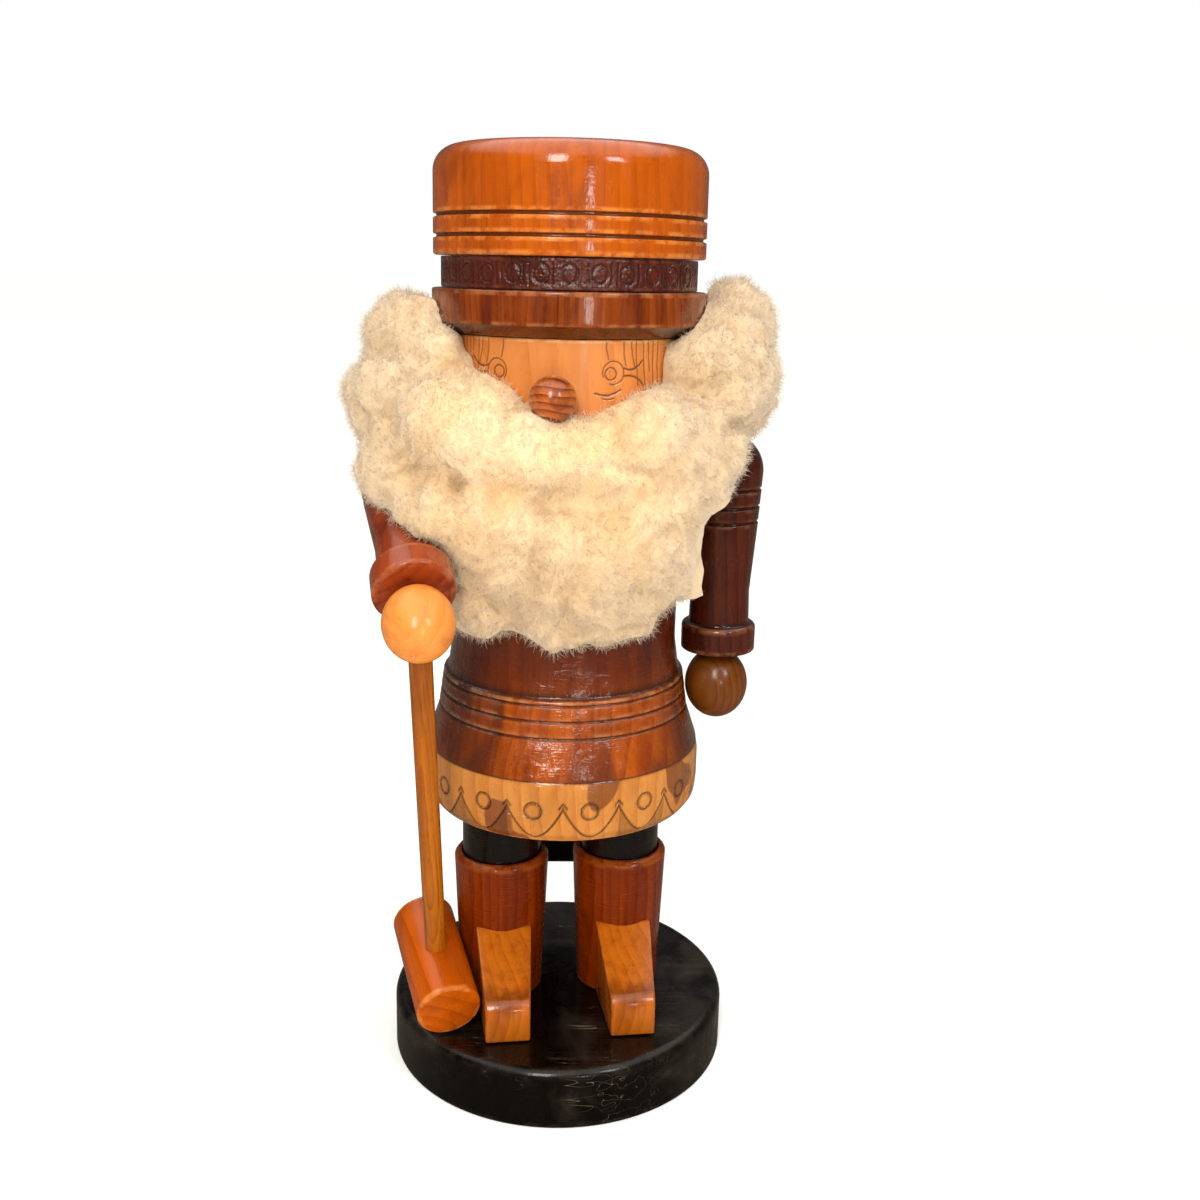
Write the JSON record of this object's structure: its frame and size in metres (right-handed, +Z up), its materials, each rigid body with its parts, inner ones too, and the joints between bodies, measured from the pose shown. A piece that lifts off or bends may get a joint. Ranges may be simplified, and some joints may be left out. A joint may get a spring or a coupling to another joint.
{
  "type": "nutcracker figure",
  "caption": "Turned-wood nutcracker man with fleece beard, round hat, jaw lever through his coat, arms on shoulder dowels and a mallet, standing on a round black base.",
  "frame": {"origin": "centre of the flat underside of the base disc", "axes": "+Z up; the figure looks along -Y, so its left side is +X"},
  "size_m": [0.1498, 0.1406, 0.3165],
  "materials": {
    "base_black": "black gloss lacquer on wood",
    "boot_stain": "red-brown stain under gloss lacquer",
    "foot_stain": "orange-brown stain under gloss lacquer",
    "leg_black": "black gloss lacquer on wood",
    "coat_stain": "dark brown stain under gloss lacquer, tan hem",
    "lever_black": "black gloss lacquer on wood",
    "head_wood": "tan wood under satin lacquer, burned face lines",
    "nose_wood": "dark brown stain under gloss lacquer",
    "brim_stain": "red-brown stain under gloss lacquer",
    "band_stain": "very dark stain under gloss lacquer, stamped rings",
    "crown_stain": "orange-brown stain under gloss lacquer",
    "sleeve_stain": "dark red-brown stain under gloss lacquer",
    "hand_left_wood": "oak-brown stain, satin",
    "hand_right_wood": "orange tan wood, satin",
    "mallet_head_stain": "orange-brown stain under lacquer",
    "mallet_handle_wood": "tan straight-grained wood, lacquered",
    "dowel_wood": "bare beech",
    "screw_steel": "zinc-plated steel",
    "fleece": "cream curly sheepskin fleece"
  },
  "bodies": {
    "body": {"base_disc": "base_black", "base_screw_left": "screw_steel", "base_screw_right": "screw_steel", "boot_left": "boot_stain", "boot_right": "boot_stain", "foot_left": "foot_stain", "foot_right": "foot_stain", "leg_left": "leg_black", "leg_right": "leg_black", "coat": "coat_stain", "lever_pin": "screw_steel", "neck_dowel_left": "dowel_wood", "neck_dowel_right": "dowel_wood", "head": "head_wood", "nose": "nose_wood", "hat_brim": "brim_stain", "hat_band": "band_stain", "hat_crown": "crown_stain", "hat_dowel": "dowel_wood", "shoulder_dowel_left": "dowel_wood", "shoulder_dowel_right": "dowel_wood", "beard": "fleece"},
    "jaw": {"jaw_lever": "lever_black"},
    "arm_left": {"arm_left": "sleeve_stain", "wrist_dowel_left": "dowel_wood", "hand_left": "hand_left_wood"},
    "arm_right": {"arm_right": "sleeve_stain", "wrist_dowel_right": "dowel_wood", "hand_right": "hand_right_wood", "mallet_handle": "mallet_handle_wood", "mallet_head": "mallet_head_stain"}
  },
  "joints": [
    {"name": "jaw_hinge", "type": "hinge", "parent": "body", "child": "jaw", "pos_m": [0, 0.0195, 0.2085], "axis": [1, 0, 0], "range_deg": [0, 15]},
    {"name": "shoulder_left", "type": "hinge", "parent": "body", "child": "arm_left", "pos_m": [0.0542, 0, 0.2125], "axis": [-1, 0, 0], "range_deg": [-25, 60]},
    {"name": "shoulder_right", "type": "hinge", "parent": "body", "child": "arm_right", "pos_m": [-0.0575, -0.003, 0.2125], "axis": [-0.9781, -0.2079, 0], "range_deg": [0, 29]}
  ]
}
